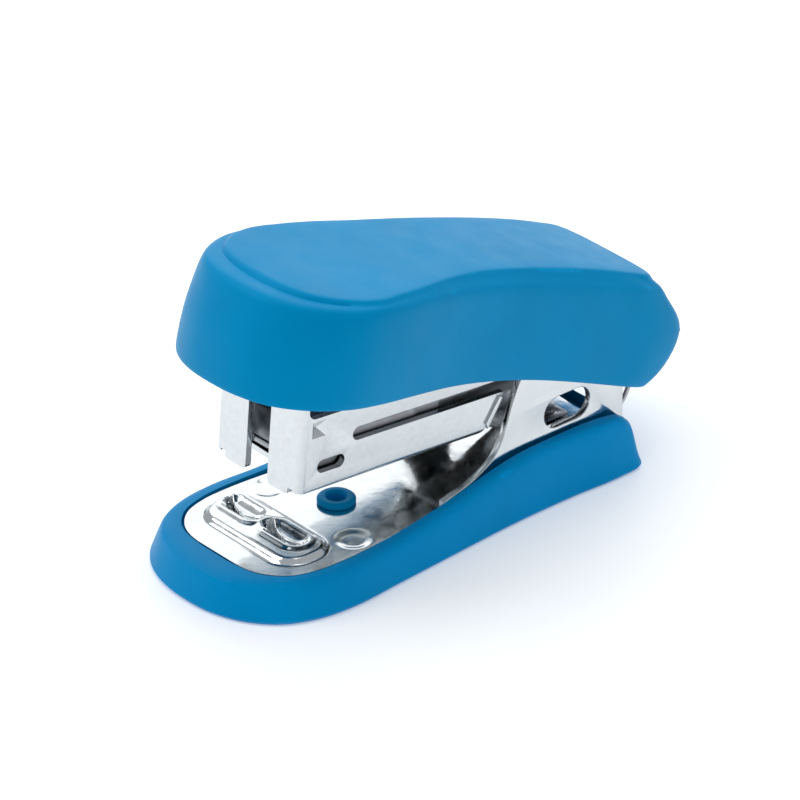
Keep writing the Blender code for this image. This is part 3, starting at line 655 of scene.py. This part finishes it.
# %% [markdown]
# The floor itself is a grid. Its columns spread with the outline's half width and its rows go to the
# places found above, so the edge of the grid is the edge of the plate and nothing has to be trimmed. The
# columns are close enough to draw the wells' lips crisply.

# %% Plate floor
COLUMNS = 196
rest()
bpy.ops.mesh.primitive_grid_add(x_subdivisions=COLUMNS, y_subdivisions=len(ROWS) - 1, size=2)
plate = bpy.context.active_object
plate.name = plate.data.name = "base_pressing"
for vert in plate.data.vertices:
    row = ROWS[round((vert.co.y + 1) / 2 * (len(ROWS) - 1))]
    vert.co.x *= row.x
    vert.co.y = row.y
    vert.co.z = PLATE_TOP + relief(vert.co.x, vert.co.y)
print("plate top:", len(plate.data.polygons), "faces")

# %% [markdown]
# The sheet then gets its gauge, the holes for its two rivets, and a rounded sheared edge.

# %% Plate gauge and holes
RIVET_HOLE_R, LEAF_HOLE_R, LEAF_HOLE_Y, SHEARED = 1.65, 0.9, 31, 0.08
modify(plate, "SOLIDIFY", thickness=GAUGE, offset=-1)
cut(plate, bar("rivet_hole", RIVET_HOLE_R, 0, 8))
cut(plate, bar("leaf_hole", LEAF_HOLE_R, 0, 8, at=(0, LEAF_HOLE_Y, 0)))
round_edges(plate, SHEARED, segments=2, angle=65)
print("plate floor:", len(plate.data.polygons), "faces")

# %% [markdown]
# At the rear the plate's sides fold up into two ears that carry the hinge pin. An ear is a flat blank with
# an oval window and the pin's hole, standing on the plate. Its front edge sweeps up in one soft curve, so
# only a few points are given and the line between them is drawn by `smooth_line`.

# %% Ears
EAR_IN, EAR_OUT = 7.7, 8.6
EAR_EDGE = [(35.8, 3.8), (8.6, 3.8)] + smooth_line([
    (8.6, 4.5), (10.2, 4.95), (12.4, 5.5), (14.4, 6.4), (16.1, 7.6), (17.2, 9.1), (18.2, 11.6), (19.2, 14.4),
    (20.2, 16.4), (22.2, 18.0), (26.0, 18.6), (30.0, 18.5), (33.0, 18.0), (35.0, 16.6), (35.8, 14.6),
])
PIN_Y, PIN_Z = (PIN.y - RIVET_PLACE.y) / MM, PIN.z / MM
WINDOW = stadium((27.2, 10.0), 7.0, 3.9)
PIN_WAY_R, EAR_ROUNDING = 1.38, 0.12
PIN_HOLE = arc((PIN_Y, PIN_Z), PIN_WAY_R, 0, 345, 23)
for side in (-1, 1):
    low, high = sorted((side * EAR_IN, side * EAR_OUT))
    ear = blank("ear", [EAR_EDGE, WINDOW, PIN_HOLE], low, high, rounding=EAR_ROUNDING)
    active(ear)
    plate.select_set(True)
    bpy.context.view_layer.objects.active = plate
    bpy.ops.object.join()
finish(plate, BASE, "base_plate", "base", PLATE_NICKEL, sharp=50)

# %% [markdown]
# ## The hollow rivet
# The plate is clipped to the tray by a hollow plastic rivet with a domed flange. A turned piece is half a
# section, spun once round its axis. The section is a short closed chain of points, given as one line of
# edges and then spun.

# %% Turned pieces


def turned(name, section, steps=48):
    """Spin a closed (radius, height) section about Z."""
    rest()
    mesh = bpy.data.meshes.new(name)
    points = [(r, 0, z) for r, z in section]
    edges = [(i, (i + 1) % len(section)) for i in range(len(section))]
    mesh.from_pydata(points, edges, [])
    obj = bpy.data.objects.new(name, mesh)
    bpy.context.scene.collection.objects.link(obj)
    edit(obj, "VERT", lambda vert: True)
    bpy.ops.mesh.spin(steps=steps, angle=2 * math.pi, center=(0, 0, 0), axis=(0, 0, 1))
    rest()
    return weld(obj)


head = 5.0
rivet = turned("hollow_rivet", (
    [(1.08, 1.35), (1.38, 1.5), (1.42, head - 0.78), (2.1, head - 0.78), (2.25, head - 0.74)]
    + [(2.25, head - 0.3), (2.22, head - 0.24), (1.95, head - 0.02), (1.9, head), (1.36, head)]
    + [(1.3, head - 0.02), (1.1, head - 0.3), (1.08, head - 0.4)]
))
modify(rivet, "SUBSURF", levels=1, render_levels=1)
finish(rivet, BASE, "base_rivet", "base", RIVET_BLUE, sharp=60)

# %% [markdown]
# ## The magazine shell
# The magazine is folded from one blank: two walls, a floor, and a flange at the front of each wall with a
# gap between them where the staple comes out. Folding is easiest from a box: its folds are bevelled, its
# top and back are deleted, and Solidify gives the gauge inwards, so that the outside keeps its size.

# %% Folded box
WALL_OUT, FLOOR_Z, WALL_TOP, FLANGE_TOP = 7.3, -4.63, 4.35, 8.9
FRONT_Y, FOLD_R, FLANGE_GAP = -44.7, 0.95, 1.9
BOX_REAR, FOLD_STEPS = 6.0, 6
shell = block("magazine_channel", (-WALL_OUT, WALL_OUT), (FRONT_Y, BOX_REAR), (FLOOR_Z, FLANGE_TOP))


def is_front_fold(edge):
    """The two upright edges at the front."""
    a, b = (vert.co for vert in edge.verts)
    return a.y < 0 and b.y < 0 and abs(a.z - b.z) > 1


def is_floor_fold(edge):
    """The two long edges where the walls meet the floor."""
    a, b = (vert.co for vert in edge.verts)
    return max(a.z, b.z) < FLOOR_Z + 0.1 and abs(a.y - b.y) > 20


edit(shell, "EDGE", is_front_fold)
bpy.ops.mesh.bevel(offset=FOLD_R, segments=FOLD_STEPS, affect="EDGES")
edit(shell, "EDGE", is_floor_fold)
bpy.ops.mesh.bevel(offset=FOLD_R, segments=FOLD_STEPS, affect="EDGES")
edit(shell, "FACE", lambda face: face.normal.z > 0.9 or face.normal.y > 0.9)
bpy.ops.mesh.delete(type="FACE")
rest()
modify(shell, "SOLIDIFY", thickness=GAUGE, offset=-1, use_even_offset=True)
print("folded box:", len(shell.data.polygons), "faces")

# %% [markdown]
# The side view is one closed line: up the slanted rear end, round the slot, over the hinge lobe, and down
# again in front, where the wall stays low and only the flange rises. One Boolean with a prism of it trims
# both walls at once. Smaller cutters then take the gap between the flanges, the way in the floor that the
# staple and the blade pass through, the port, and the holes for pin and rivets. A rounded foot, which
# reaches down to the paper, is added under each flange, with a notch beside it.

# %% Magazine side view
SLOT_LOW, SLOT_HIGH, SLOT_FRONT = 0.0, 1.7, -37.2
slot_r = (SLOT_HIGH - SLOT_LOW) / 2
SIDE_VIEW = (
    [(-50, -8), (-18.4, -8), (-18.2, -4.9), (-17.6, -4.45), (-17.0, -3.9), (-16.5, -3.0), (-14.7, -0.15)]
    + [(-14.75, 0.0)] + arc((SLOT_FRONT + slot_r, slot_r), slot_r, 270, 90)
    + [(-8.0, SLOT_HIGH), (-5.5, 0.6), (-3.6, -1.6)] + arc((0, 0), 3.4, 220, 340)
    + [(3.4, 1.5), (2.6, 3.3), (1.0, WALL_TOP)]
    + arc((-42.75, WALL_TOP + 1.0), 1.0, 270, 180, 8) + [(-43.75, 11), (-50, 11)]
)
cut(shell, blank("side_view", [SIDE_VIEW], -9, 9), "INTERSECT")
WAY_HALF, WAY_REAR, RIVET_WAY_R, RAIL_RIVETS_Y = 6.3, -41.6, 0.9, (-35.0, -22.5)
FOOT_OUT, FOOT_LOW, FOOT_TOP, FOOT_ROUND, NOTCH_X, NOTCH_R = 5.45, -5.25, -4.0, 0.55, 5.8, 0.42
cut(shell, block("front_gap", (-FLANGE_GAP, FLANGE_GAP), (-50, FRONT_Y + GAUGE + 0.15), (-8, 12)))
cut(shell, block("staple_way", (-WAY_HALF, WAY_HALF), (FRONT_Y + GAUGE + 0.02, WAY_REAR), (-8, -3)))
cut(shell, blank("port", [stadium((-40.2, -1.84), 4.0, 1.65)], -9, 9))
cut(shell, bar("pin_way", PIN_WAY_R, -9, 9, turn=ALONG_X))
for y in RAIL_RIVETS_Y:
    cut(shell, bar("rivet_way", RIVET_WAY_R, -8, -2, at=(0, y, 0)))
for side in (-1, 1):
    near, far = sorted((side * (FLANGE_GAP + 0.02), side * FOOT_OUT))
    foot = block("foot", (near, far), (FRONT_Y, FRONT_Y + GAUGE), (FOOT_LOW, FOOT_TOP))
    edit(foot, "EDGE", lambda edge: max(vert.co.z for vert in edge.verts) < -5 and edge.calc_length() < 1)
    bpy.ops.mesh.bevel(offset=FOOT_ROUND, segments=4, affect="EDGES")
    rest()
    cut(shell, foot, "UNION")
    cut(shell, bar("notch", NOTCH_R, -6, -4.35, at=(side * NOTCH_X, FRONT_Y + 0.2, 0), sides=16))
print("channel:", len(shell.data.polygons), "faces")

# %% [markdown]
# Near the top front corner of each wall a small square pyramid is pressed in, and behind the slot the
# lower prong ends in a narrow raised lip. A four-sided cone makes the pyramid, and the lip is a bar
# of sheet laid along the prong's slanted end.

# %% Pressed marks
PRESS, PRESS_R, PRESS_DEPTH, LIP_RISE = (-42.2, 2.95), 2.0, 0.95, 0.33
LIP_LINE = [(-14.9, -0.5), (-15.5, -0.25), (-17.35, -3.3), (-17.0, -4.0), (-16.6, -3.4)]
for side in (-1, 1):
    rest()
    bpy.ops.mesh.primitive_cone_add(
        vertices=4, radius1=PRESS_R, radius2=0, depth=PRESS_DEPTH, rotation=(0, 0, math.pi / 4),
    )
    press = active(bpy.context.active_object)
    bpy.ops.object.transform_apply(location=False, rotation=True, scale=False)
    press.rotation_euler = (0, -side * math.pi / 2, 0)
    press.location = (side * (WALL_OUT - 0.2), *PRESS)
    bpy.ops.object.transform_apply(location=True, rotation=True, scale=True)
    cut(shell, press)
    outer = sorted((side * (WALL_OUT - 0.2), side * (WALL_OUT + LIP_RISE)))
    lip = blank("stop_lip", [LIP_LINE], *outer, rounding=0.1)
    cut(shell, lip, "UNION")
round_edges(shell, 0.07, segments=2, angle=42)
finish(shell, MAGAZINE, "magazine_shell", "magazine", NICKEL, sharp=28)

# %% [markdown]
# ## The follower and what it slides on
# Inside the shell a second channel carries the staples. The follower straddles it, pushed forward by a
# coil spring on a rod. Each is a pressing or a turned bar whose solid already has the right shape, so a
# copy is taken and its sheared edges are rounded; the number in each row is the width of that rounding.

# %% Inner pieces
INNER = {
    "staple_rail": ("magazine", "bare_steel", ZINC, 0.08),
    "guide_rod": ("magazine", "bare_steel", ZINC, 0.08),
    "spring_seat": ("magazine", "bare_steel", ZINC, 0.06),
    "rail_rivet_front": ("magazine", "bare_steel", ZINC, 0.12),
    "rail_rivet_rear": ("magazine", "bare_steel", ZINC, 0.12),
    "leaf_rivet": ("base", "bare_steel", ZINC, 0.12),
    "pivot_pin": ("base", "bare_steel", ZINC, 0.1),
    "handle_frame": ("handle", "bare_steel", ZINC, 0.1),
    "driver_blade": ("handle", "bare_steel", ZINC, 0.06),
    "blade_rivet_left": ("handle", "bare_steel", ZINC, 0.1),
    "blade_rivet_right": ("handle", "bare_steel", ZINC, 0.1),
    "magazine_spring": ("base", "spring_steel", SPRING, 0.05),
}
for cad_node, (body, slot, look, width) in INNER.items():
    piece = copy_of(cad_node, cad_node + "_finished")
    modify(piece, "DECIMATE", decimate_type="DISSOLVE", angle_limit=math.radians(1))
    round_edges(piece, width, segments=2, angle=50)
    finish(piece, ROW, cad_node, body, look)

# %% [markdown]
# The follower is the dull grey pressing that shows through the magazine's long slot. The wing on each of
# its sides has a narrow window. It is drawn level like the shell, so the copy is first moved back into
# the level frame, and a small oval prism cuts each window.

# %% Follower
WING_X, WING_HALF = 5.9, 0.6
WING_WINDOW = stadium((-30.6, 1.55), 5.8, 1.3)
follower = copy_of("pusher", "follower")
follower.data.transform(MAGAZINE.inverted() @ ROW)
modify(follower, "DECIMATE", decimate_type="DISSOLVE", angle_limit=math.radians(1))
for side in (-1, 1):
    middle = side * WING_X
    cut(follower, blank("wing_window", [WING_WINDOW], middle - WING_HALF, middle + WING_HALF))
round_edges(follower, 0.06, segments=2, angle=50)
finish(follower, MAGAZINE, "pusher", "pusher", DARK)

# %% [markdown]
# ## Springs and wire
# A spring is one wire, so in Blender it is a curve along that wire with a round bevel as thick as it. A
# helix is worked out by a loop, and a bent wire is a soft line through its few bends. Made a mesh, the
# curve then behaves like every other piece.

# %% Wire


def wire(name, points, radius, bends=False):
    """A round wire along the points, as a mesh; bends draws a soft line through them first."""
    line = smooth_line(points, 0.25) if bends else [Vector(point) for point in points]
    curve = bpy.data.curves.new(name, "CURVE")
    curve.dimensions = "3D"
    curve.bevel_depth = radius
    curve.bevel_resolution = 3
    curve.use_fill_caps = True
    spline = curve.splines.new("POLY")
    spline.points.add(len(line) - 1)
    for point, spot in zip(spline.points, line):
        point.co = (*spot, 1)
    obj = bpy.data.objects.new(name, curve)
    bpy.context.scene.collection.objects.link(obj)
    active(obj)
    bpy.ops.object.convert(target="MESH")
    return weld(bpy.context.active_object)


print("a wire is a curve with a round bevel, made a mesh")

# %% [markdown]
# The coil on the rod pushes the follower forward and shortens as the follower moves back. It rides with
# the magazine. The leaf under the magazine lifts it and flattens as the magazine comes down. Each of the
# two gets a mesh of its own.

# %% Follower spring
ROD_Z, COIL_FRONT, COIL_REAR = -0.7, -40.8, -6.85
COIL_R, COIL_WIRE, COIL_TURNS, COIL_STEPS, LEAF_KEEP = 1.35, 0.2, 26, 22, 0.52
coil_points = []
for i in range(COIL_TURNS * COIL_STEPS + 1):
    turn = 2 * math.pi * i / COIL_STEPS
    y = COIL_FRONT + (COIL_REAR - COIL_FRONT) * i / (COIL_TURNS * COIL_STEPS)
    coil_points.append((COIL_R * math.cos(turn), y, ROD_Z + COIL_R * math.sin(turn)))
coil = wire("follower_spring", coil_points, COIL_WIRE)
finish(coil, MAGAZINE, "pusher_spring", "magazine", SPRING)
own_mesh(coil)
leaf = bpy.data.objects["magazine_spring_finished"]
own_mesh(leaf)

# %% [markdown]
# The handle's spring is wound round the hinge pin. One leg presses on the rail's floor and the other
# under the handle's channel, so it is made in two pieces that meet in the coil: the lower leg rides with
# the magazine and the rest turns with the handle.

# %% Handle spring
PIN_COIL_R, PIN_COIL_WIRE, PIN_COIL_HALF = 2.0, 0.3, 2.3
UPPER_TURNS, LOWER_TURN = (610, 1890), (262, 622)
UPPER_START_X, LOWER_END_X = -1.3, -1.35


def pin_coil(start, end, x_from, x_to, steps=24):
    """A helix round the pin, between two angles in degrees."""
    count = max(2, round(abs(end - start) / 360 * steps))
    found = []
    for i in range(count + 1):
        angle = math.radians(start + (end - start) * i / count)
        x = x_from + (x_to - x_from) * i / count
        found.append((x, PIN_COIL_R * math.cos(angle), PIN_COIL_R * math.sin(angle)))
    return found


upper_leg = [(PIN_COIL_HALF, -6.0, 4.6), (PIN_COIL_HALF, -10.0, 7.65), (PIN_COIL_HALF, -13.5, 7.8)]
upper_coil = pin_coil(*UPPER_TURNS, UPPER_START_X, PIN_COIL_HALF)
upper = wire("handle_spring_coil", upper_coil + upper_leg, PIN_COIL_WIRE)
finish(upper, HANDLE, "handle_spring", "handle", SPRING)
lower_leg = [(-PIN_COIL_HALF, -14.0, -2.33), (-PIN_COIL_HALF, -9.0, -2.53)]
first_turn = pin_coil(*LOWER_TURN, -PIN_COIL_HALF, LOWER_END_X)
lower = wire("handle_spring_leg", lower_leg + first_turn, PIN_COIL_WIRE)
finish(lower, MAGAZINE, None, "magazine", SPRING)

# %% [markdown]
# At the tail a thin wire loop hangs from the handle behind the ears. Half of it is drawn through its
# bends, and the other half is the same points mirrored and taken backwards, which keeps it one wire.

# %% Link wire
LINK_X, LINK_R = 7.15, 0.3
leg = [(-0.6, -8.55), (1.2, -7.8), (3.6, -7.3), (5.3, -5.8), (5.9, -3.9), (5.95, -2.3)]
link_points = [(-LINK_X, *spot) for spot in leg]
link_points += [(-LINK_X + 0.35, 5.95, -1.55), (-LINK_X + 1.2, 5.95, -1.3)]
link_points += [(-x, y, z) for x, y, z in reversed(link_points)]
link = wire("link_wire", link_points, LINK_R, bends=True)
finish(link, HANDLE, "tail_wire", "handle", SPRING)

# %% [markdown]
# ## The table it stands on and the light
# A pale, slightly rough floor takes a soft shadow. Large soft boxes light bright metal best, since what
# shows in a mirror is the lamp's own shape: one high in front on the left, one straight above, and one
# behind on the left that the plate mirrors towards the camera, under a pale sky that fills the rest. The
# floor lies a hair below the soles, so that the two never share one plane.

# %% Stage
TABLE_SIZE, TABLE_Z = 3, -0.00002
LAMP_AIM = Vector((0, 0, 0.015))
rest()
bpy.ops.mesh.primitive_plane_add(size=TABLE_SIZE, location=(0, 0, TABLE_Z))
floor = bpy.context.active_object
floor.name = "table_top"
floor_look, floor_tree, floor_shader = finish_base("table_white", (0.92, 0.93, 0.94), 0.55)
floor_shader.inputs["Emission Color"].default_value = (1, 1, 1, 1)
floor_shader.inputs["Emission Strength"].default_value = 0.25
floor_gloss = effect(floor_tree, "slow_change", Scale=12.0, Low=0.5, High=0.6)["Value"]
floor_tree.links.new(floor_gloss, floor_shader.inputs["Roughness"])
floor.data.materials.append(floor_look)


def softbox(name, place, size, power):
    """A rectangular lamp at a place, facing the stapler."""
    lamp = bpy.data.lights.new(name, "AREA")
    lamp.shape = "RECTANGLE"
    lamp.size, lamp.size_y = size
    lamp.energy = power
    obj = bpy.data.objects.new(name, lamp)
    obj.location = place
    obj.rotation_euler = (LAMP_AIM - Vector(place)).to_track_quat("-Z", "Y").to_euler()
    bpy.context.scene.collection.objects.link(obj)


softbox("key_softbox", (-0.35, -0.3, 0.6), (0.4, 0.35), 1.3)
softbox("top_softbox", (-0.05, 0.15, 0.75), (0.6, 0.6), 1.8)
softbox("back_softbox", (-0.5, 0.45, 0.4), (0.9, 0.6), 1.7)
SKY, SKY_STRENGTH = (0.93, 0.96, 1.0, 1), 0.5
world = bpy.data.worlds.new("pale_sky")
world.use_nodes = True
world.node_tree.nodes["Background"].inputs["Color"].default_value = SKY
world.node_tree.nodes["Background"].inputs["Strength"].default_value = SKY_STRENGTH
bpy.context.scene.world = world
bpy.context.scene.view_settings.view_transform = "Standard"
print("lamps:", len(bpy.data.lights), "sky strength", SKY_STRENGTH)

# %% [markdown]
# ## The camera
# The stapler is seen from its front right, a little from above, with a long lens, so that its lines stay
# almost parallel, as in a catalogue.

# %% Camera
AZIMUTH, ELEVATION, DISTANCE = math.radians(49.3), math.radians(29.6), 0.7554
AIM, LENS, SENSOR = Vector((0.0006, -0.0024, 0.0143)), 301.5, 36
level = math.cos(ELEVATION)
back = Vector((math.sin(AZIMUTH) * level, -math.cos(AZIMUTH) * level, math.sin(ELEVATION)))
camera_data = bpy.data.cameras.new("catalogue_camera")
camera_data.lens = LENS
camera_data.sensor_width = SENSOR
camera_data.clip_start = 0.01
camera_data.clip_end = 10
camera = bpy.data.objects.new("catalogue_camera", camera_data)
camera.location = AIM + back * DISTANCE
camera.rotation_euler = (-back).to_track_quat("-Z", "Y").to_euler()
bpy.context.scene.collection.objects.link(camera)
bpy.context.scene.camera = camera
print("camera", round(math.degrees(AZIMUTH), 1), "degrees round,", round(math.degrees(ELEVATION), 1), "up")
